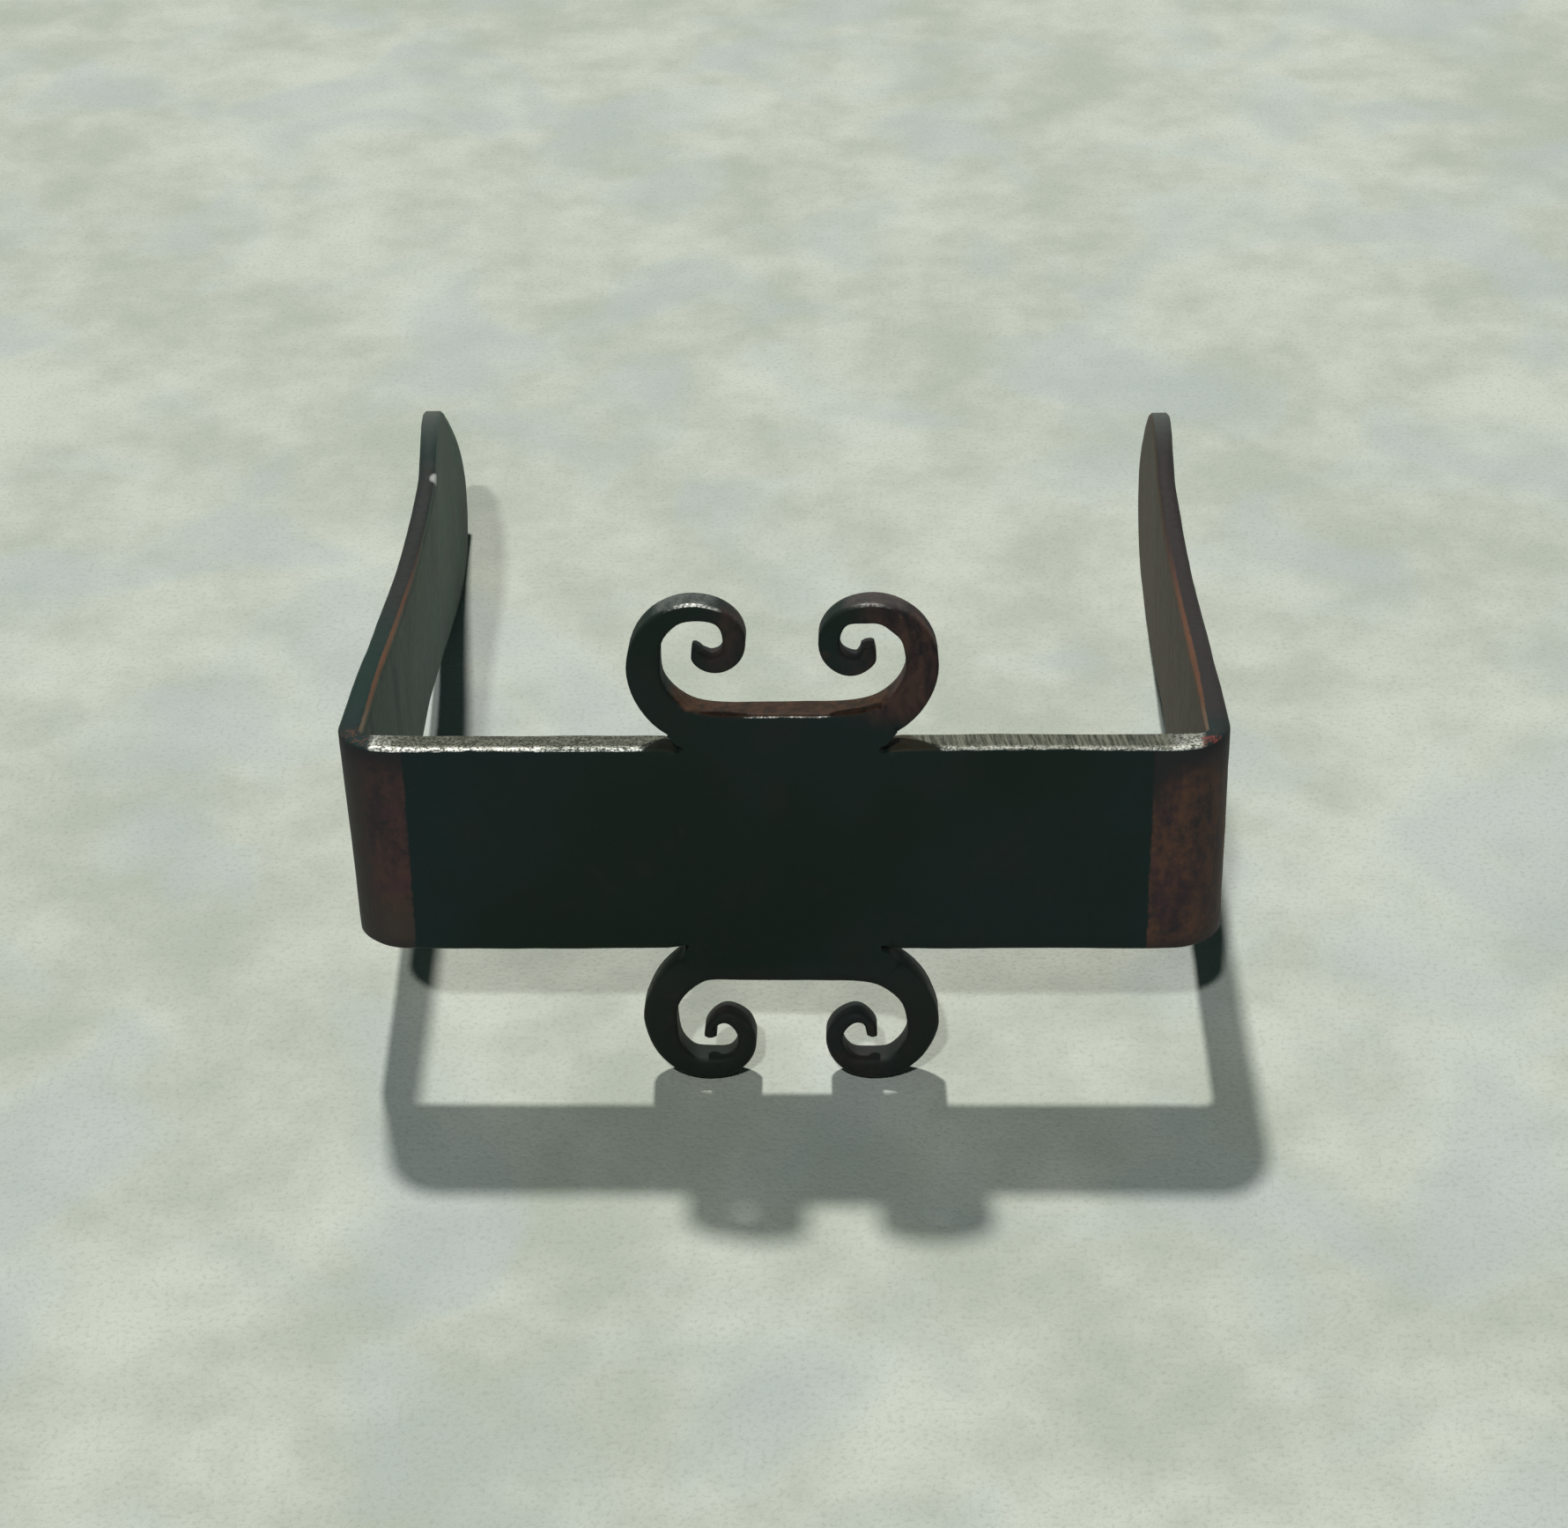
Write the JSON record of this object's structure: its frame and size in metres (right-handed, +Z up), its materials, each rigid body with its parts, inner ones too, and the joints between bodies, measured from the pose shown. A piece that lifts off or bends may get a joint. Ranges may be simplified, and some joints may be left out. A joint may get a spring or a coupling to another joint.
{
  "type": "beam strap",
  "caption": "Forged flat-bar strap bent to a U round a timber beam, with tapered scrolls curled above and below the middle of its web.",
  "frame": {"origin": "on the floor under the middle of the bounding box, as the strap stands on its lower scrolls and the heels of its legs", "axes": "+X across the web to its right as seen from the front, +Y back along the legs from the web, +Z up from the floor"},
  "size_m": [0.2656, 0.3156, 0.1535],
  "materials": {
    "forged_steel": "black forge scale, rusted at the bends, edges and scrolls"
  },
  "bodies": {
    "root": {"beam_strap": "forged_steel"}
  },
  "joints": []
}
